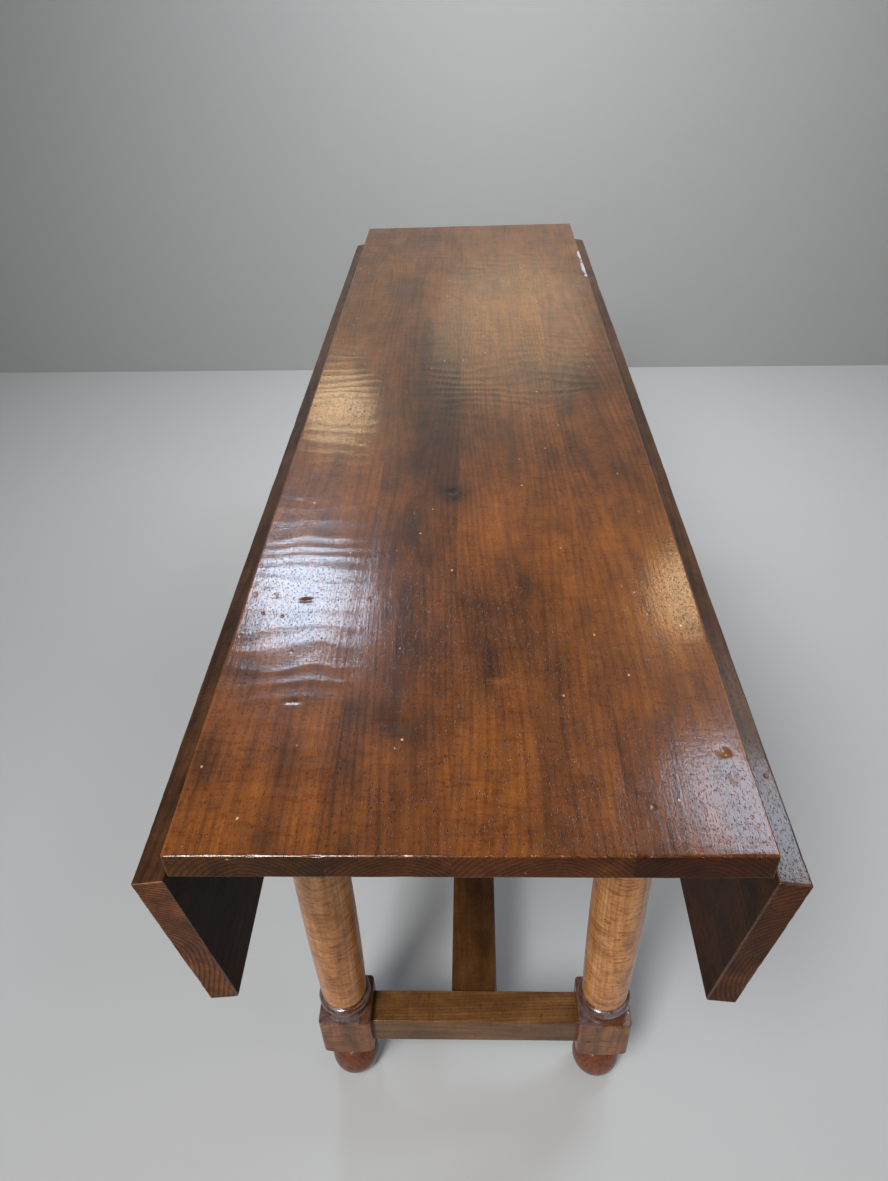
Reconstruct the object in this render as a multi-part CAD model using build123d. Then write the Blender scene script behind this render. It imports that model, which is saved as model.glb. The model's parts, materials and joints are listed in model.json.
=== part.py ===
from build123d import *
import os
from math import asin, atan2, cos, degrees, hypot, radians, sin

# Narrow drop-leaf communion table, in millimetres.
# +Z is up, Y runs along the table, X across it.  The origin is on the floor under its centre.
# Front means the -Y end, back the +Y end, left is -X and right is +X.
# Both leaves are modelled hanging, which is the rest pose.

# ---- driving dimensions -------------------------------------------------------------------
table_height = 750.0
top_length = 1612.0
plank_widths = [116.0, 92.0, 130.0, 100.0]     # the glued staves of the top, from left to right
board = 26.0                                   # thickness of the top and of the leaves
leaf_plank_widths = [96.0, 73.0]               # the two staves of a leaf, from the hinge outwards
leaf_lean = 9.2                                # degrees past vertical that a hanging leaf leans in
leg_spacing = 332.0                            # across the table, between leg axes
leg_setback = 197.0                            # from the end of the top to the leg axis
eased = 1.6                                    # worn roundness of the board edges
slit = 0.05                                    # clearance round screws and running fits

# legs and feet
block = 66.0                                   # square of the leg blocks
base_block_bottom = 88.0                       # above the floor, which is the foot's height
base_block_top = 165.0
head_block_length = 100.0
block_easing = 5.0                             # worn roundness of the upright arrises
block_arris = 1.3
pommel_rise = 7.0                              # how far the lower corners are turned away
cove_radius = 31.0                             # the cove between a block and its ring
cove_height = 12.0
ring_radius = 33.0
ring_half_height = 7.0
neck_radius = 25.0
column_end_radius = 28.4
column_middle_radius = 31.5
bun_radius = 31.5
bun_half_height = 31.0
bun_pad_radius = 11.0
foot_neck_radius = 15.5
foot_dowel_radius = 11.0
foot_dowel_length = 18.0

# rails
apron_thickness = 22.0
apron_depth = 80.0
apron_tenon = [20.0, 8.0, 60.0]                # length, thickness, depth
cross_thickness = 42.0
cross_depth = 49.0
cross_bottom = 99.0
cross_tenon = [27.0, 12.0, 33.0]
center_width = 60.0
center_depth = 34.0
center_drop = 8.0                              # its top lies below the top of the cross stretchers
center_tenon = [18.0, 40.0, 16.0]              # length, width, depth
rail_easing = 2.0
peg_radius = 3.5

# buttons that hold the top to the aprons
button = [38.0, 30.0, 18.0]                    # across the apron, along it, height
button_tongue = [9.0, 8.0]                     # length, thickness
button_screw_length = 32.0

# hinges
hinge_rows = {"front": -480.0, "middle": 0.0, "back": 480.0}
leaf_gap = 1.5                                 # between the top and a raised leaf
hinge_drop = 3.8                               # pin axis below the underside of the top
knuckle_radius = 3.5
hinge_pin_radius = 1.8
hinge_plate = 2.0
hinge_length = 60.0
knuckles = 5
knuckle_gap = 0.3
hinge_top_reach = 31.0
hinge_leaf_reach = 42.0
hardware_screw_length = 17.0

# stays: a slotted bar turns on the leaf's stud and slides over the frame's pin
stay_rows = {"front": -300.0, "back": 300.0}
stay_stagger = 30.0                            # the left bars lie beside the right ones
stay_reach = 130.0                             # from the hinge axis to the stud, along the leaf
stay_stand_off = 12.0                          # from the leaf's underside to the stud
stay_pin_angle = 124.0                         # degrees below the raised leaf, seen from the hinge axis
stay_bar = [18.0, 4.0]                         # width, thickness
stay_pin_radius = 4.0
stay_slot_clearance = 0.35
stay_side_gap = 0.4
stay_head_radius = 7.0
stay_head = 3.0
bracket_plate = 3.0
bracket_length = 38.0
bracket_screws = [0.4, 0.8]                    # places along a bracket's foot, as parts of its length
ear_thickness = 4.0
ear_radius = 8.0

# ---- places worked out from them ----------------------------------------------------------
top_width = sum(plank_widths)
leaf_width = sum(leaf_plank_widths)
under = table_height - board                   # underside of the top
leg_x = leg_spacing / 2
leg_y = top_length / 2 - leg_setback
hinge_x = top_width / 2 + leaf_gap / 2
hinge_z = under - hinge_drop
hang_angle = 90.0 + leaf_lean
leaf_start = leaf_gap / 2                      # a raised leaf's inner edge, out from the hinge axis

sides = {"left": -1, "right": 1}
ends = {"front": -1, "back": 1}


# ---- helpers ------------------------------------------------------------------------------
def box(x, y, z):
    """A box from three (low, high) pairs."""
    size = [high - low for low, high in (x, y, z)]
    middle = [(high + low) / 2 for low, high in (x, y, z)]
    return Pos(*middle) * Box(*size)


def span(middle, size):
    return (middle - size / 2, middle + size / 2)


def rod(start, direction, radius, length):
    """A cylinder that begins at start and runs along direction."""
    upright = Cylinder(radius, length, align=(Align.CENTER, Align.CENTER, Align.MIN))
    return Plane(origin=start, z_dir=direction) * upright


def turned(outline):
    """A turning about Z from an outline of edges in the radius-height plane."""
    return revolve(Plane.XZ * make_face(outline), Axis.Z)


def ease(solid, axis, radius):
    """Rounds the edges of a board or block that run along one axis."""
    return fillet(solid.edges().filter_by(axis), radius)


def on_side(shape, side):
    """Shapes are drawn on the right of the table, and mirrored for the left."""
    return shape if side > 0 else mirror(shape, about=Plane.YZ)


def hang(shape):
    """Turns a right-hand shape from the raised leaf down to the hanging one."""
    return shape.rotate(Axis((hinge_x, 0, hinge_z), (0, 1, 0)), hang_angle)


def screw(start, direction, length, radius=1.9, head_radius=3.6):
    """A slotted countersunk wood screw, with the flat of its head at start."""
    head_height = head_radius - radius
    tip = 2.5 * radius
    outline = Polyline(
        (0, 0),
        (head_radius, 0),
        (radius, head_height),
        (radius, length - tip),
        (0.3, length),
        (0, length),
        close=True,
    )
    slot = Box(2 * head_radius + 1, 0.9, 1.6)
    return Plane(origin=start, z_dir=direction) * (turned(outline) - slot)


def screw_hole(start, direction, length, radius=1.9, head_radius=3.6):
    """The pilot and countersink for a screw, a little larger all round."""
    head_height = head_radius - radius
    outline = Polyline(
        (0, -1),
        (head_radius + slit, -1),
        (head_radius + slit, 0),
        (radius + slit, head_height),
        (radius + slit, length + 1),
        (0, length + 1),
        close=True,
    )
    return Plane(origin=start, z_dir=direction) * turned(outline)


def cut(solid, tools):
    for tool in tools:
        solid = solid - tool
    return solid


# ---- screws and pegs: their places come first, because the wood is bored for them ---------
def hinge_screws(reach):
    """Screw places on a hinge plate: along the pin, and away from it."""
    return [(-20.0, 0.42 * reach), (0.0, 0.74 * reach), (20.0, 0.42 * reach)]


def top_hinge_screws():
    """Right-hand screws that go up into the top."""
    places = []
    for row in hinge_rows.values():
        for along, away in hinge_screws(hinge_top_reach):
            places.append(((hinge_x - away, row + along, under - hinge_plate), (0, 0, 1)))
    return places


def raised_leaf_screws(stagger):
    """Right-hand screws that go into the underside of a raised leaf."""
    places = []
    for row in hinge_rows.values():
        for along, away in hinge_screws(hinge_leaf_reach):
            places.append(((hinge_x + away, row + along, under - hinge_plate), (0, 0, 1)))
    for row in stay_rows.values():
        for along in bracket_screws:
            y = row + stagger + along * bracket_length
            places.append(((hinge_x + stay_reach, y, under - bracket_plate), (0, 0, 1)))
    return places


def apron_bracket_screws(stagger):
    """Right-hand screws that hold the stay brackets to the inner face of the side apron."""
    x = leg_x - apron_thickness / 2 - bracket_plate
    places = []
    for row in stay_rows.values():
        for along in bracket_screws:
            places.append(((x, row + stagger + along * bracket_length, under - apron_depth / 2), (1, 0, 0)))
    return places


def stagger_of(side):
    """The left stays are shifted along the table, so that the bars pass each other."""
    return -stay_stagger if side < 0 else 0.0


button_rows = [-430.0, 0.0, 430.0]


def buttons():
    """The middle and the turn about Z of each button: three on each side, one at each end."""
    reach = button[0] / 2
    side_x = leg_x - apron_thickness / 2 - reach
    end_y = leg_y - apron_thickness / 2 - reach
    places = [(side * side_x, row, 0 if side > 0 else 180) for side in sides.values() for row in button_rows]
    places += [(0, end * end_y, 90 * end) for end in ends.values()]
    return places


def button_screw_places():
    return [((x, y, under - button[2]), (0, 0, 1)) for x, y, turn in buttons()]


def peg_places():
    """Draw-bore pegs: their outer ends, directions and lengths, for aprons and stretchers."""
    half = block / 2
    length = half + 11.0
    tenon_middle = half - apron_tenon[0] / 2
    aprons = []
    stretchers = []
    for side in sides.values():
        for end in ends.values():
            for height in (under - 0.3 * apron_depth, under - 0.7 * apron_depth):
                outer = side * (leg_x + half)
                aprons.append(((outer, end * (leg_y - tenon_middle), height), (-side, 0, 0), length))
                outer = end * (leg_y + half)
                aprons.append(((side * (leg_x - tenon_middle), outer, height + 7.0), (0, -end, 0), length))
            x = side * (leg_x - half + cross_tenon[0] / 2)
            height = cross_bottom + cross_depth / 2
            stretchers.append(((x, end * (leg_y + half), height), (0, -end, 0), length + 4.0))
    return aprons, stretchers


apron_peg_places, stretcher_peg_places = peg_places()
peg_bores = [
    rod(start, direction, peg_radius + slit, length + 0.5)
    for start, direction, length in apron_peg_places + stretcher_peg_places
]


# ---- legs, feet and rails -----------------------------------------------------------------
def turned_block(height, rise):
    """A square block from z = 0 to height with a turned cove above it.

    rise is how far the turning cuts up into the lower corners, or 0 for a square lower end.
    """
    half = block / 2
    corner = half * 2 ** 0.5 + 0.5
    square = ease(Pos(0, 0, height / 2) * Box(block, block, height), Axis.Z, block_easing)
    square = chamfer(square.edges().group_by(Axis.Z)[-1], block_arris)
    if rise:
        start = half - 2.0
        outline = Line((0, 0), (start, 0))
        outline += ThreePointArc((start, 0), ((start + corner) / 2, 0.3 * rise), (corner, rise))
        outline += Polyline((corner, rise), (corner, height + 1), (0, height + 1), (0, 0))
        square = square & turned(outline)
    hollow = 0.3 * cove_radius + 0.7 * neck_radius
    cove = Line((0, height), (cove_radius, height))
    cove += ThreePointArc(
        (cove_radius, height), (hollow, height + 0.4 * cove_height), (neck_radius, height + cove_height)
    )
    cove += Polyline((neck_radius, height + cove_height), (0, height + cove_height), (0, height))
    return square + turned(cove)


def leg():
    """One leg in its own place about the Z axis: base block, rings, round column, head block."""
    base_top = base_block_top + cove_height
    head_bottom = under - head_block_length - cove_height
    middle = (base_top + head_bottom) / 2
    ring_low = base_top + 1.0
    ring_high = ring_low + 2 * ring_half_height
    low_half = Polyline((0, base_top), (neck_radius, base_top), (neck_radius, ring_low))
    low_half += ThreePointArc(
        (neck_radius, ring_low),
        (ring_radius, ring_low + ring_half_height),
        (column_end_radius - 0.8, ring_high),
    )
    low_half += Line((column_end_radius - 0.8, ring_high), (column_end_radius, ring_high + 3.0))
    low_half += Spline(
        (column_end_radius, ring_high + 3.0),
        (column_end_radius + 1.9, ring_high + 75.0),
        (column_middle_radius, middle),
        tangents=[(0.04, 1), (0, 1)],
    )
    low_half += Polyline((column_middle_radius, middle), (0, middle), (0, base_top))
    half_column = turned(low_half)
    column = half_column + mirror(half_column, about=Plane.XY.offset(middle))
    base = Pos(0, 0, base_block_bottom) * turned_block(base_block_top - base_block_bottom, pommel_rise)
    head = Pos(0, 0, under) * Rot(180, 0, 0) * turned_block(head_block_length, 0)
    return base + column + head


def foot():
    """A turned bun foot about the Z axis, with a neck, a fillet and the dowel that holds it."""
    bun_middle = bun_half_height * (1 - (bun_pad_radius / bun_radius) ** 2) ** 0.5
    neck_from = bun_middle + bun_half_height * (1 - (foot_neck_radius / bun_radius) ** 2) ** 0.5
    seat = base_block_bottom
    fillet_bottom = seat - 9.0
    outline = Line((0, 0), (bun_pad_radius, 0))
    outline += Spline(
        (bun_pad_radius, 0),
        (0.83 * bun_radius, bun_middle - 0.56 * bun_half_height),
        (bun_radius, bun_middle),
        (0.83 * bun_radius, bun_middle + 0.56 * bun_half_height),
        (foot_neck_radius, neck_from),
    )
    outline += Spline(
        (foot_neck_radius, neck_from),
        (foot_neck_radius + 0.6, fillet_bottom - 4.0),
        (foot_neck_radius + 6.0, fillet_bottom),
    )
    outline += Polyline(
        (foot_neck_radius + 6.0, fillet_bottom),
        (foot_neck_radius + 8.0, fillet_bottom + 1.0),
        (foot_neck_radius + 8.0, seat),
        (foot_dowel_radius, seat),
        (foot_dowel_radius, seat + foot_dowel_length - 2.0),
        (foot_dowel_radius - 2.0, seat + foot_dowel_length),
        (0, seat + foot_dowel_length),
        (0, 0),
    )
    return turned(outline)


def side_apron():
    """The right-hand apron, with a stub tenon at each end and its button mortises."""
    length, thickness, depth = apron_tenon
    half = leg_y - block / 2
    board_box = box(span(leg_x, apron_thickness), (-half, half), (under - apron_depth, under))
    tenon = box(span(leg_x, thickness), (-half - length, half + length), span(under - apron_depth / 2, depth))
    return ease(board_box, Axis.Y, rail_easing / 2) + tenon


def end_apron():
    """The front apron, across the table between two legs."""
    length, thickness, depth = apron_tenon
    half = leg_x - block / 2
    board_box = box((-half, half), span(-leg_y, apron_thickness), (under - apron_depth, under))
    tenon_height = span(under - apron_depth / 2, depth)
    tenon = box((-half - length, half + length), span(-leg_y, thickness), tenon_height)
    return ease(board_box, Axis.X, rail_easing / 2) + tenon


def cross_stretcher():
    """The front stretcher, between two base blocks, mortised for the centre stretcher."""
    length, thickness, depth = cross_tenon
    half = leg_x - block / 2
    middle = cross_bottom + cross_depth / 2
    bar = box((-half, half), span(-leg_y, cross_thickness), (cross_bottom, cross_bottom + cross_depth))
    tenon = box((-half - length, half + length), span(-leg_y, thickness), span(middle, depth))
    return ease(bar, Axis.X, rail_easing) + tenon - center_stretcher()


def center_stretcher():
    """The long flat stretcher, tenoned into the two cross stretchers."""
    length, width, depth = center_tenon
    half = leg_y - cross_thickness / 2
    top = cross_bottom + cross_depth - center_drop
    middle = top - center_depth / 2
    bar = box(span(0, center_width), (-half, half), (top - center_depth, top))
    tenon = box(span(0, width), (-half - length, half + length), span(middle, depth))
    return ease(bar, Axis.Y, rail_easing) + tenon


def button_block(clearance=0.0):
    """A button about its own middle: a block under the top, with a tongue towards +X."""
    across, along, height = button
    tongue_length, tongue = button_tongue
    body = box(span(0, across), span(0, along), (under - height, under))
    reach = across / 2 + tongue_length + clearance
    low = under - height - clearance
    high = under - height + tongue + clearance
    return body + box((0, reach), span(0, along + 2 * clearance), (low, high))


def placed_buttons(clearance=0.0):
    return [Pos(x, y, 0) * Rot(0, 0, turn) * button_block(clearance) for x, y, turn in buttons()]


# ---- top and leaves -----------------------------------------------------------------------
def staves(slab, widths, start):
    """Cuts a glued board into its staves, which run along Y."""
    pieces = []
    left = start
    for width in widths:
        pieces.append(slab & box((left, left + width), (-top_length, top_length), (0, 2 * table_height)))
        left += width
    return pieces


def top_planks():
    half = top_width / 2
    slab = box((-half, half), span(0, top_length), (under, table_height))
    slab = fillet(slab.edges().group_by(Axis.Z)[-1], eased)
    return staves(slab, plank_widths, -half)


def raised_leaf_planks():
    """The right leaf held level, with a small flat worn on the lower arris of its outer edge."""
    start = hinge_x + leaf_start
    slab = box((start, start + leaf_width), span(0, top_length), (under, table_height))
    outer_low = slab.edges().filter_by(Axis.Y).group_by(Axis.X)[-1].sort_by(Axis.Z)[0]
    slab = chamfer(outer_low, eased)
    slab = fillet(slab.edges().group_by(Axis.Z)[-1], eased)
    return staves(slab, leaf_plank_widths, start)


# ---- hinges -------------------------------------------------------------------------------
def knuckle_spans(row, first):
    """The stretches of every second knuckle, from the first or the second one."""
    pitch = hinge_length / knuckles
    low = row - hinge_length / 2
    return [
        (low + index * pitch + knuckle_gap / 2, low + (index + 1) * pitch - knuckle_gap / 2)
        for index in range(first, knuckles, 2)
    ]


def hinge_half(row, reach, direction, first, bore):
    """One plate with its knuckles, level: direction is -1 for the top's plate, 1 for the leaf's."""
    ends_x = sorted((hinge_x, hinge_x + direction * reach))
    plate = box(ends_x, span(row, hinge_length), (under - hinge_plate, under))
    corners = plate.edges().filter_by(Axis.Z).group_by(Axis.X)[-1 if direction > 0 else 0]
    plate = fillet(corners, 5.0)
    room = knuckle_radius + 0.5
    for low, high in knuckle_spans(row, 1 - first):
        notch = (low - knuckle_gap, high + knuckle_gap)
        plate -= box(span(hinge_x, 2 * room), notch, (hinge_z - room, under + 1))
    for low, high in knuckle_spans(row, first):
        plate += rod((hinge_x, low, hinge_z), (0, 1, 0), knuckle_radius, high - low)
    plate -= rod((hinge_x, row - hinge_length, hinge_z), (0, 1, 0), bore, 2 * hinge_length)
    holes = [
        screw_hole((hinge_x + direction * away, row + along, under - hinge_plate), (0, 0, 1), 10.0)
        for along, away in hinge_screws(reach)
    ]
    return cut(plate, holes)


def hinge_pin(row):
    """A plain pin with a shallow head at each end."""
    half = hinge_length / 2
    pin = rod((hinge_x, row - half, hinge_z), (0, 1, 0), hinge_pin_radius, hinge_length)
    for end in (-1, 1):
        start = row + end * half
        pin += rod((hinge_x, start, hinge_z), (0, end, 0), hinge_pin_radius + 0.9, 0.9)
    return pin


# ---- stays --------------------------------------------------------------------------------
# Stud and pin lie at the same radius from the hinge axis, so the line between them turns by
# exactly half of the leaf's angle, and a straight slot follows the pin all the way.
stud_down = stay_stand_off - hinge_drop
stay_radius = hypot(stay_reach, stud_down)
stud_raised_angle = degrees(atan2(stud_down, stay_reach))
stud_hanging_angle = stud_raised_angle + hang_angle


def below(angle):
    """The point at the stay radius that lies this many degrees below the raised leaf."""
    return (hinge_x + stay_radius * cos(radians(angle)), hinge_z - stay_radius * sin(radians(angle)))


def chord(angle):
    """From the stud to the pin, when the stud lies at this angle."""
    return 2 * stay_radius * sin(radians(stay_pin_angle - angle) / 2)


stay_closed = chord(stud_hanging_angle)
stay_open = chord(stud_raised_angle)
stud_x, stud_z = below(stud_hanging_angle)
frame_pin_x, frame_pin_z = below(stay_pin_angle)
bar_slope = degrees(asin((frame_pin_z - stud_z) / stay_closed))


def stay_bar_solid(row):
    """The slotted bar of the right side, at rest: its first hole is on the stud."""
    width, thickness = stay_bar
    slot_radius = stay_pin_radius + stay_slot_clearance
    slack = 0.3
    near = stay_closed - slack
    far = stay_open + slack
    end = far + slot_radius
    outline = Pos(end / 2, 0) * SlotCenterToCenter(end, width)
    slot = Pos((near + far) / 2, 0) * SlotCenterToCenter(far - near, 2 * slot_radius)
    face = outline - slot - Circle(stay_pin_radius + slit)
    bar = extrude(face, thickness / 2, both=True)
    along = (-cos(radians(bar_slope)), 0, sin(radians(bar_slope)))
    return Plane(origin=(stud_x, row, stud_z), x_dir=along, z_dir=(0, 1, 0)) * bar


def pin_through_bar(x, z, row):
    """The stud or pin that passes through a bar from its bracket, and ends in a flat head."""
    near = stay_bar[1] / 2 + stay_side_gap
    pin = rod((x, row + near, z), (0, -1, 0), stay_pin_radius, 2 * near)
    return pin + rod((x, row - near, z), (0, -1, 0), stay_head_radius, stay_head)


def ear(points, x, z, row):
    """A bracket's ear: a plate across the table, beside the bar, rounded about its pin."""
    near = row + stay_bar[1] / 2 + stay_side_gap
    upright = Plane(origin=(0, near, 0), x_dir=(1, 0, 0), z_dir=(0, -1, 0))
    outline = upright * make_face(Polyline(*points, close=True))
    plate = extrude(outline, -ear_thickness)
    return plate + rod((x, near, z), (0, 1, 0), ear_radius, ear_thickness)


def raised_leaf_bracket(row):
    """The stay's bracket on a raised leaf: a screwed foot, an ear and the stud."""
    x = hinge_x + stay_reach
    z = under - stay_stand_off
    near = row + stay_bar[1] / 2 + stay_side_gap
    base = box(span(x, 24.0), (near, row + bracket_length), (under - bracket_plate, under))
    plate = ear([(x - 12, under), (x + 12, under), (x + ear_radius, z), (x - ear_radius, z)], x, z, row)
    holes = [
        screw_hole((x, row + along * bracket_length, under - bracket_plate), (0, 0, 1), 10.0)
        for along in bracket_screws
    ]
    return cut(base + plate + pin_through_bar(x, z, row), holes)


def frame_bracket(row):
    """The stay's bracket on the apron: a screwed foot, an ear that reaches down, and the pin."""
    face = leg_x - apron_thickness / 2
    near = row + stay_bar[1] / 2 + stay_side_gap
    low = under - apron_depth + 6.0
    high = under - 22.0
    middle = under - apron_depth / 2
    x, z = frame_pin_x, frame_pin_z
    base = box((face - bracket_plate, face), (near, row + bracket_length), (low, high))
    points = [
        (face, high),
        (face, low),
        (x + ear_radius, z),
        (x - ear_radius, z),
        (face - 14.0, low + 14.0),
        (face - 8.0, high),
    ]
    plate = ear(points, x, z, row)
    holes = [
        screw_hole((face - bracket_plate, row + along * bracket_length, middle), (1, 0, 0), 10.0)
        for along in bracket_screws
    ]
    return cut(base + plate + pin_through_bar(x, z, row), holes)


# ---- assembly -----------------------------------------------------------------------------
nodes = {}


def add(name, shape):
    nodes[name] = shape


def build_frame():
    """The fixed frame: the top, the legs and feet, the aprons, the stretchers and their pegs."""
    top_bores = [screw_hole(*place, button_screw_length) for place in button_screw_places()]
    for side in sides.values():
        for place in top_hinge_screws():
            top_bores.append(on_side(screw_hole(*place, hardware_screw_length), side))
    for number, plank in enumerate(top_planks(), 1):
        add(f"top_plank_{number}", cut(plank, top_bores))

    one_leg = leg()
    one_foot = foot()
    rails = {"front_end_apron": end_apron(), "front_cross_stretcher": cross_stretcher()}
    rails["back_end_apron"] = mirror(rails["front_end_apron"], about=Plane.XZ)
    rails["back_cross_stretcher"] = mirror(rails["front_cross_stretcher"], about=Plane.XZ)
    button_room = placed_buttons(0.3)
    for name, side in sides.items():
        screws = [on_side(screw_hole(*place, hardware_screw_length), side)
                  for place in apron_bracket_screws(stagger_of(side))]
        rails[f"{name}_side_apron"] = cut(on_side(side_apron(), side), screws)
    for name, rail in rails.items():
        room = button_room if name.endswith("apron") else []
        add(name, cut(rail, room + peg_bores))
    add("center_stretcher", center_stretcher())

    for end_name, end in ends.items():
        for side_name, side in sides.items():
            place = Pos(side * leg_x, end * leg_y, 0)
            standing_foot = place * one_foot
            standing_leg = cut(place * one_leg, list(rails.values()) + peg_bores + [standing_foot])
            add(f"{end_name}_{side_name}_leg", standing_leg)
            add(f"{end_name}_{side_name}_foot", standing_foot)


def build_fasteners():
    """Pegs, buttons and their screws: each kind is one node of separate solids."""
    for name, places in (("apron_pegs", apron_peg_places), ("stretcher_pegs", stretcher_peg_places)):
        add(name, [rod(start, way, peg_radius, length) for start, way, length in places])
    bores = [screw_hole(*place, button_screw_length) for place in button_screw_places()]
    add("top_buttons", [cut(one, [bore]) for one, bore in zip(placed_buttons(), bores)])
    add("button_screws", [screw(*place, button_screw_length) for place in button_screw_places()])
    hardware = []
    for side in sides.values():
        places = top_hinge_screws() + apron_bracket_screws(stagger_of(side))
        hardware += [on_side(screw(*place, hardware_screw_length), side) for place in places]
    add("frame_hardware_screws", hardware)


def build_leaf(name, side):
    """One leaf with its hinges, stays and screws."""
    stagger = stagger_of(side)
    screw_places = raised_leaf_screws(stagger)
    bores = [screw_hole(*place, hardware_screw_length) for place in screw_places]
    for part, plank in zip(("inner", "outer"), raised_leaf_planks()):
        add(f"{name}_leaf_{part}_plank", on_side(hang(cut(plank, bores)), side))
    screws = [on_side(hang(screw(*place, hardware_screw_length)), side) for place in screw_places]
    add(f"{name}_leaf_screws", screws)

    for row_name, row in hinge_rows.items():
        top_plate = hinge_half(row, hinge_top_reach, -1, 0, hinge_pin_radius + 0.01)
        leaf_plate = hinge_half(row, hinge_leaf_reach, 1, 1, hinge_pin_radius + slit)
        add(f"{name}_{row_name}_hinge_top_plate", on_side(top_plate, side))
        add(f"{name}_{row_name}_hinge_leaf_plate", on_side(hang(leaf_plate), side))
    add(f"{name}_hinge_pins", [on_side(hinge_pin(row), side) for row in hinge_rows.values()])

    for row_name, row in stay_rows.items():
        y = row + stagger
        add(f"{name}_{row_name}_stay_bar", on_side(stay_bar_solid(y), side))
        add(f"{name}_{row_name}_stay_leaf_bracket", on_side(hang(raised_leaf_bracket(y)), side))
        add(f"{name}_{row_name}_stay_frame_bracket", on_side(frame_bracket(y), side))


build_frame()
build_fasteners()
for leaf_name, leaf_side in sides.items():
    build_leaf(leaf_name, leaf_side)

os.makedirs("parts", exist_ok=True)
for node, shape in nodes.items():
    if isinstance(shape, list):
        solids = [one if isinstance(one, Solid) else one.solids()[0] for one in shape]
        shape = Compound(children=[Solid(solid.wrapped) for solid in solids])
    export_step(shape, f"parts/{node}.step")

print(f"hinge axis x {hinge_x:.3f} z {hinge_z:.3f}, opens {hang_angle:.2f} degrees")
print(f"stud x {stud_x:.3f} z {stud_z:.3f}, pin x {frame_pin_x:.3f} z {frame_pin_z:.3f}")
print(f"bar slope {bar_slope:.3f}, slides from {stay_closed:.2f} to {stay_open:.2f}")
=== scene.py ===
import json
from math import cos, pi, radians, sin

import bpy
import numpy as np
from mathutils import Matrix, Vector


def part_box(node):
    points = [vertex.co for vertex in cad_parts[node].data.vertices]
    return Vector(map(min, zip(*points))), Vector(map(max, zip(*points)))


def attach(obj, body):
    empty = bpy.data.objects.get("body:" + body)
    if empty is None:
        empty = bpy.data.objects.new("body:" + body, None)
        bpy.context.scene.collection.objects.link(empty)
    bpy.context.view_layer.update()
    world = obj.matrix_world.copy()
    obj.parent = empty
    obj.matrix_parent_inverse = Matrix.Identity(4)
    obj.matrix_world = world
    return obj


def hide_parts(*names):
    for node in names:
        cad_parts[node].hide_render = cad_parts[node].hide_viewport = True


# A drop-leaf communion table of dark glossy hardwood, on a pale floor in front of a grey wall.
# Lengths are in metres.  +Z is up, Y runs along the table, and -Y is the end nearest the camera.

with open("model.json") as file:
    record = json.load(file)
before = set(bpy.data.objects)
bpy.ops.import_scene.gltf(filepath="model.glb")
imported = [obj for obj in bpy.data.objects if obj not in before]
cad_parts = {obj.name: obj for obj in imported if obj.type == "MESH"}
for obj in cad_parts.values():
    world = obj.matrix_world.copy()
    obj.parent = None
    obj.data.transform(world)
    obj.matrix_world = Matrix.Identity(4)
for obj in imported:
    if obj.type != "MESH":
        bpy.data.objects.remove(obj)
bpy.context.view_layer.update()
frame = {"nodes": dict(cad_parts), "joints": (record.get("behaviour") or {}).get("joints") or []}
nodes = frame["nodes"]
hinges = {joint["child"]: joint for joint in frame["joints"] if joint["child"].endswith("_leaf")}

mm = 0.001
top_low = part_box("top_plank_1")[0]
top_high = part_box("top_plank_4")[1]
near_end = top_low.y
top_z = top_high.z
ring_top = 0.193                                   # a leg between its rings is polished golden
column_top = 0.596
cove_foot = 0.164                                  # a leg is darker from here up, except along its column


# ---- smooth noise for the meshes ----------------------------------------------------------
noise_cells = 128                                  # random values before the noise repeats


def eased(part):
    """From 0 to 1, slow at both ends."""
    return part * part * (3 - 2 * part)


def noise(across, along, seed):
    """Smooth noise from -1 to 1, with a random value at each corner of the unit squares."""
    table = np.random.default_rng(seed).uniform(-1.0, 1.0, (noise_cells, noise_cells))
    column = np.floor(across).astype(int)
    row = np.floor(along).astype(int)
    right = eased(across - column)
    up = eased(along - row)

    def value(columns_on, rows_on):
        return table[(column + columns_on) % noise_cells, (row + rows_on) % noise_cells]

    lower = value(0, 0) * (1 - right) + value(1, 0) * right
    upper = value(0, 1) * (1 - right) + value(1, 1) * right
    return lower * (1 - up) + upper * up


def rough_noise(across, along, seed, octaves=3):
    """Several sizes of noise added up, from -1 to 1."""
    total = sum(noise(across * 2**k, along * 2**k, seed + k) / 2**k for k in range(octaves))
    return total / (2 - 2 ** (1 - octaves))


def bell(distance):
    """1 at the middle, falling smoothly to 0 at distance 1."""
    return np.clip(1 - distance**2, 0, 1) ** 2


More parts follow.
